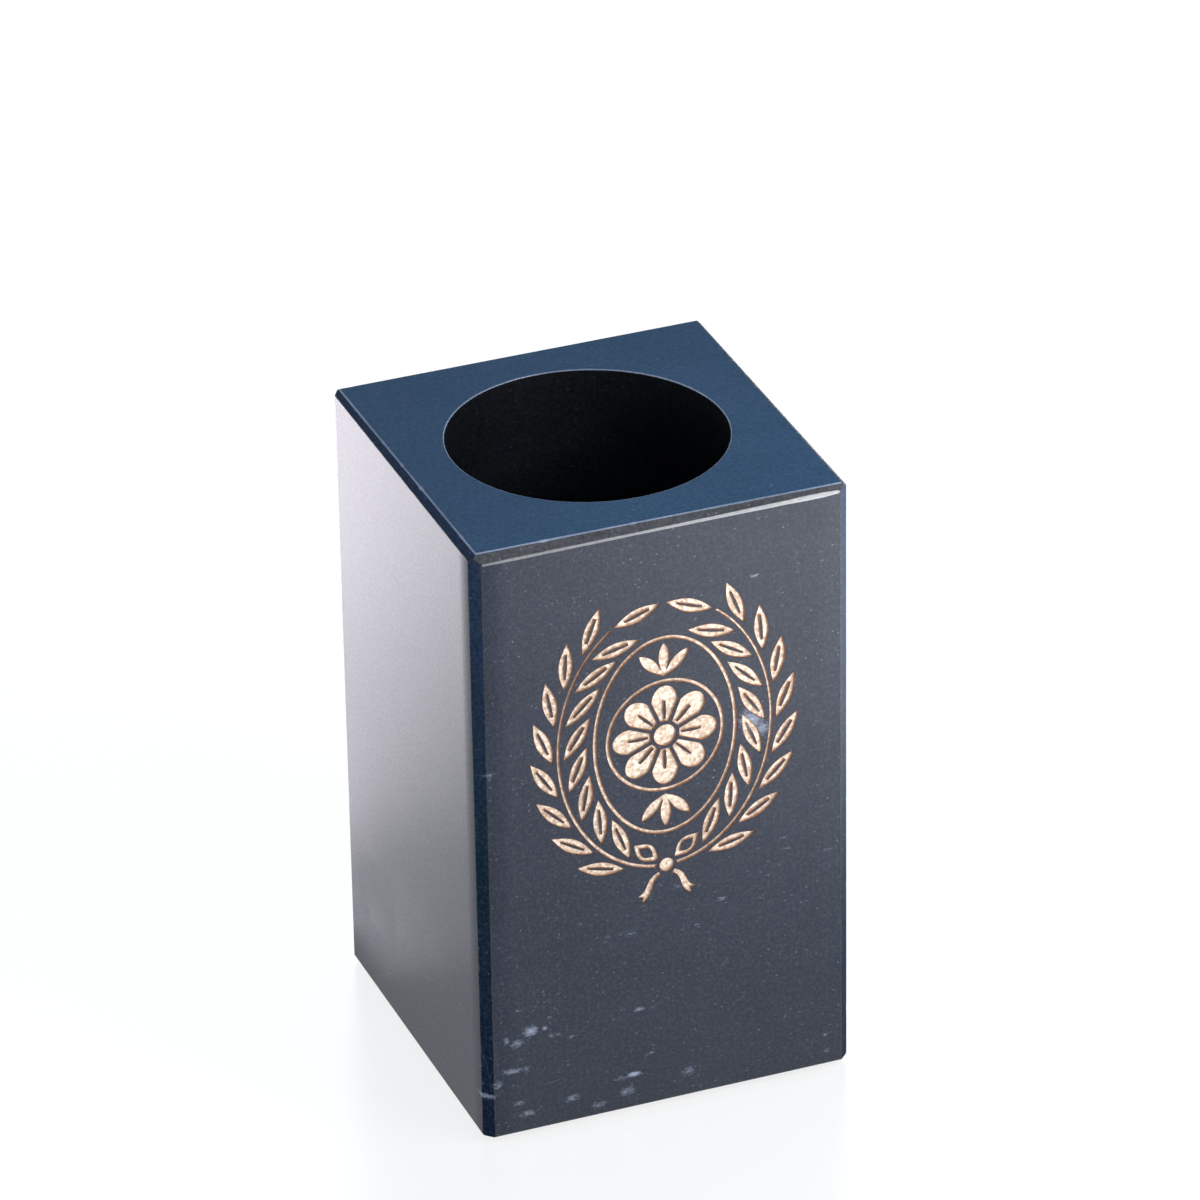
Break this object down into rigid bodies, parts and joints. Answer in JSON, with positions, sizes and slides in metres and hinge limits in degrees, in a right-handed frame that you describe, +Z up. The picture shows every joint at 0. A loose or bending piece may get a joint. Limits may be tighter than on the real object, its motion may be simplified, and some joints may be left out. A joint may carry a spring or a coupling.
{
  "type": "pen holder",
  "caption": "Square dark stone pen holder with a round well, ground edges, a gilded wreath and rosette etched into its front and a felt base.",
  "frame": {"origin": "middle of the felt's underside, on the desk", "axes": "+Z up along the well, the ornament faces -Y, +X to the right of someone who looks at it"},
  "size_m": [0.0762, 0.0762, 0.1282],
  "materials": {
    "black_stone": "honed sides, polished top",
    "gilt": "matt gold paint in a blasted recess",
    "felt": "wool felt"
  },
  "bodies": {
    "root": {"felt_base_pad": "felt", "gilt_bow_knot": "gilt", "gilt_left_bow_loop": "gilt", "gilt_left_bow_tail": "gilt", "gilt_left_end_leaf": "gilt", "gilt_left_inner_leaf_1": "gilt", "gilt_left_inner_leaf_2": "gilt", "gilt_left_inner_leaf_3": "gilt", "gilt_left_inner_leaf_4": "gilt", "gilt_left_inner_leaf_5": "gilt", "gilt_left_inner_leaf_6": "gilt", "gilt_left_inner_leaf_7": "gilt", "gilt_left_inner_leaf_8": "gilt", "gilt_left_outer_leaf_1": "gilt", "gilt_left_outer_leaf_2": "gilt", "gilt_left_outer_leaf_3": "gilt", "gilt_left_outer_leaf_4": "gilt", "gilt_left_outer_leaf_5": "gilt", "gilt_left_outer_leaf_6": "gilt", "gilt_left_outer_leaf_7": "gilt", "gilt_left_outer_leaf_8": "gilt", "gilt_left_stem": "gilt", "gilt_lower_spray": "gilt", "gilt_oval_line": "gilt", "gilt_right_bow_loop": "gilt", "gilt_right_bow_tail": "gilt", "gilt_right_end_leaf": "gilt", "gilt_right_inner_leaf_1": "gilt", "gilt_right_inner_leaf_2": "gilt", "gilt_right_inner_leaf_3": "gilt", "gilt_right_inner_leaf_4": "gilt", "gilt_right_inner_leaf_5": "gilt", "gilt_right_inner_leaf_6": "gilt", "gilt_right_inner_leaf_7": "gilt", "gilt_right_inner_leaf_8": "gilt", "gilt_right_outer_leaf_1": "gilt", "gilt_right_outer_leaf_2": "gilt", "gilt_right_outer_leaf_3": "gilt", "gilt_right_outer_leaf_4": "gilt", "gilt_right_outer_leaf_5": "gilt", "gilt_right_outer_leaf_6": "gilt", "gilt_right_outer_leaf_7": "gilt", "gilt_right_outer_leaf_8": "gilt", "gilt_right_stem": "gilt", "gilt_rosette_boss": "gilt", "gilt_rosette_petal_1": "gilt", "gilt_rosette_petal_2": "gilt", "gilt_rosette_petal_3": "gilt", "gilt_rosette_petal_4": "gilt", "gilt_rosette_petal_5": "gilt", "gilt_rosette_petal_6": "gilt", "gilt_rosette_petal_7": "gilt", "gilt_rosette_petal_8": "gilt", "gilt_rosette_ring": "gilt", "gilt_upper_spray": "gilt", "stone_block": "black_stone"}
  },
  "joints": []
}
